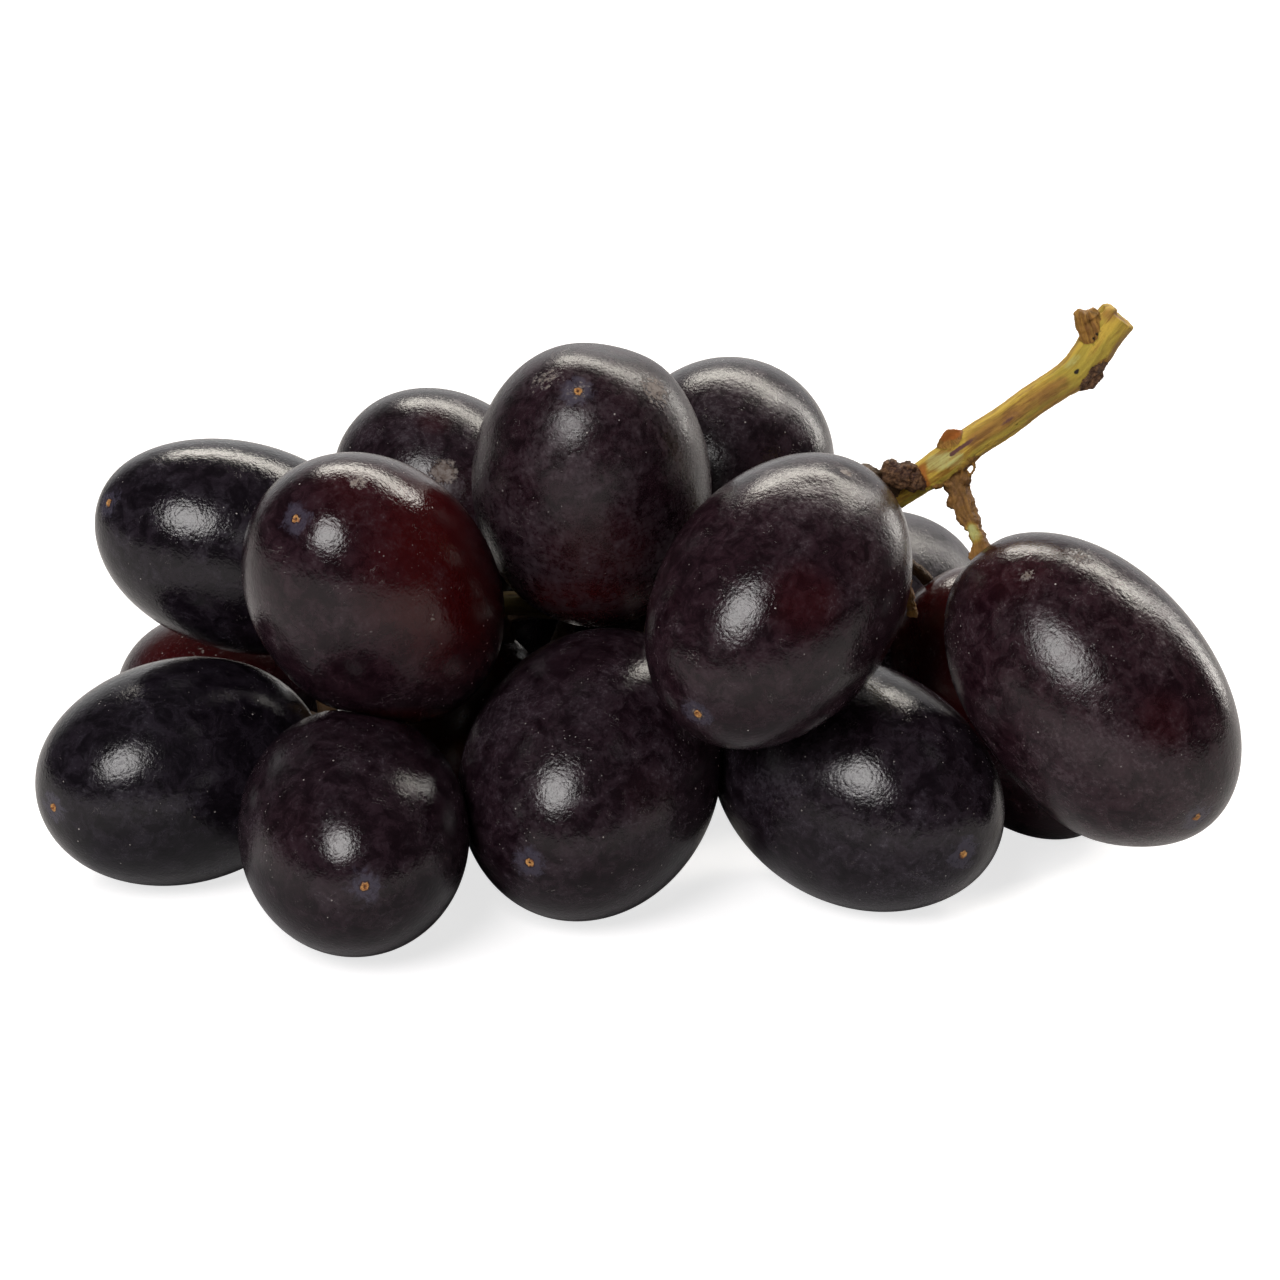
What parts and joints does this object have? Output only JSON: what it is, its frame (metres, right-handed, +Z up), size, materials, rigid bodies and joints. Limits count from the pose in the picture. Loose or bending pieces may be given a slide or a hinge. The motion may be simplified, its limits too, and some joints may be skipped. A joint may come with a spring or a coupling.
{
  "type": "bunch of grapes",
  "caption": "Small bunch of black table grapes lying on its side, with oval berries on a branched stem that ends in a short cut stalk.",
  "frame": {"origin": "middle of the bunch's footprint, at the height of the surface that it lies on", "axes": "+X along the bunch towards the cut end of the stem, +Y away from the side that faces the viewer, +Z up from the surface"},
  "size_m": [0.1081, 0.0764, 0.0528],
  "materials": {
    "grape_skin": "blue-black skin with a rubbed waxy bloom, semi-gloss, dark red where light comes through",
    "stem": "matt yellow-green stalk with brown, corky knots and cut end"
  },
  "bodies": {
    "root": {"grape_front_1": "grape_skin", "grape_front_2": "grape_skin", "grape_front_3": "grape_skin", "grape_front_4": "grape_skin", "grape_top_1": "grape_skin", "grape_top_2": "grape_skin", "grape_top_3": "grape_skin", "grape_top_4": "grape_skin", "grape_top_5": "grape_skin", "grape_top_6": "grape_skin", "grape_right_1": "grape_skin", "grape_right_2": "grape_skin", "grape_back_1": "grape_skin", "grape_back_2": "grape_skin", "grape_back_3": "grape_skin", "grape_back_4": "grape_skin", "grape_back_5": "grape_skin", "grape_inner_1": "grape_skin", "grape_inner_2": "grape_skin", "stem": "stem"}
  },
  "joints": []
}
